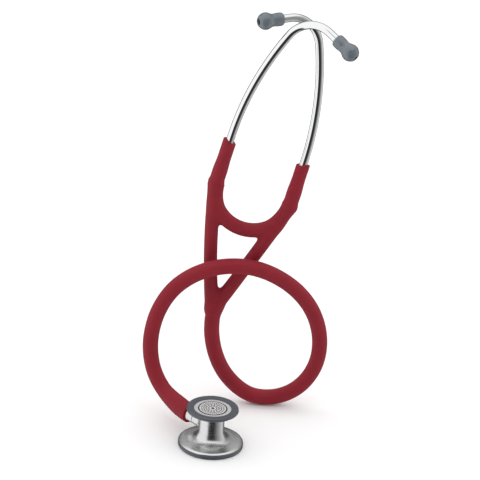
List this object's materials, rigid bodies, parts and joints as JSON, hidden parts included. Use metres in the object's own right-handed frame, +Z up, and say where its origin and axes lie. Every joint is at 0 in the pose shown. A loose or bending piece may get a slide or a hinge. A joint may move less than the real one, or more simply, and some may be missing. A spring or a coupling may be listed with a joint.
{
  "type": "stethoscope",
  "caption": "Double-sided cardiology stethoscope with steel chestpiece, looped hose, moulded Y with spring web, crossing ear tubes and soft ear tips.",
  "frame": {"origin": "centre of the large side of the chestpiece, in the plane of its rim, on the surface it stands on", "axes": "+Z up along the chestpiece's axis, -Y to the front, +X to the right; the stem leaves to the back left"},
  "size_m": [0.1286, 0.0997, 0.2855],
  "materials": {
    "steel": "turned and polished",
    "chrome_tube": "mirror",
    "spring_steel": "blued strip",
    "burgundy_hose": "satin",
    "grey_rim": "satin",
    "grey_tip": "soft satin",
    "diaphragm": "satin film",
    "printed_face": "printed concentric pattern",
    "black_print": "print",
    "seal_rubber": "matte",
    "insert_plastic": "moulded"
  },
  "bodies": {
    "tubing": {"hose": "burgundy_hose", "yoke": "burgundy_hose", "leaf_spring": "spring_steel", "stem": "steel", "stem_barb": "steel", "stem_oring": "seal_rubber"},
    "chestpiece": {"chest_body": "steel", "large_rim": "grey_rim", "small_rim": "grey_rim", "detent_ball": "steel", "detent_spring": "spring_steel", "detent_plug": "steel"},
    "large_face": {"large_diaphragm": "diaphragm"},
    "small_face": {"small_diaphragm": "diaphragm", "face_disc": "printed_face", "face_ring": "black_print"},
    "left_binaural": {"left_sleeve": "burgundy_hose", "left_spring_tab": "spring_steel", "left_tube_barb": "steel", "left_ear_tube": "chrome_tube"},
    "right_binaural": {"right_sleeve": "burgundy_hose", "right_spring_tab": "spring_steel", "right_tube_barb": "steel", "right_ear_tube": "chrome_tube"},
    "left_tip": {"left_tip_insert": "insert_plastic", "left_ear_tip": "grey_tip"},
    "right_tip": {"right_tip_insert": "insert_plastic", "right_ear_tip": "grey_tip"}
  },
  "joints": [
    {"name": "chestpiece_turn", "type": "hinge", "parent": "tubing", "child": "chestpiece", "pos_m": [0, 0, 0.014], "axis": [-0.7071, 0.7071, 0], "range_deg": [0, 180]},
    {"name": "large_diaphragm_press", "type": "slide", "parent": "chestpiece", "child": "large_face", "axis": [0, 0, 1], "range_m": [0, 0.0004], "stiffness_N_per_m": 2000},
    {"name": "small_diaphragm_press", "type": "slide", "parent": "chestpiece", "child": "small_face", "axis": [0, 0, -1], "range_m": [0, 0.0003], "stiffness_N_per_m": 2000},
    {"name": "left_ear_tube_spread", "type": "hinge", "parent": "tubing", "child": "left_binaural", "pos_m": [-0.00884, 0.062, 0.1642], "axis": [0, -1, 0], "range_deg": [0, 25], "stiffness_Nm_per_rad": 2},
    {"name": "right_ear_tube_spread", "type": "hinge", "parent": "tubing", "child": "right_binaural", "pos_m": [0.04199, 0.062, 0.15105], "axis": [0, 1, 0], "range_deg": [0, 25], "stiffness_Nm_per_rad": 2},
    {"name": "left_tip_pull", "type": "slide", "parent": "left_binaural", "child": "left_tip", "axis": [0.7553, -0.4368, -0.4886], "range_m": [0, 0.014]},
    {"name": "right_tip_pull", "type": "slide", "parent": "right_binaural", "child": "right_tip", "axis": [-0.8891, -0.4446, -0.1083], "range_m": [0, 0.014]}
  ]
}
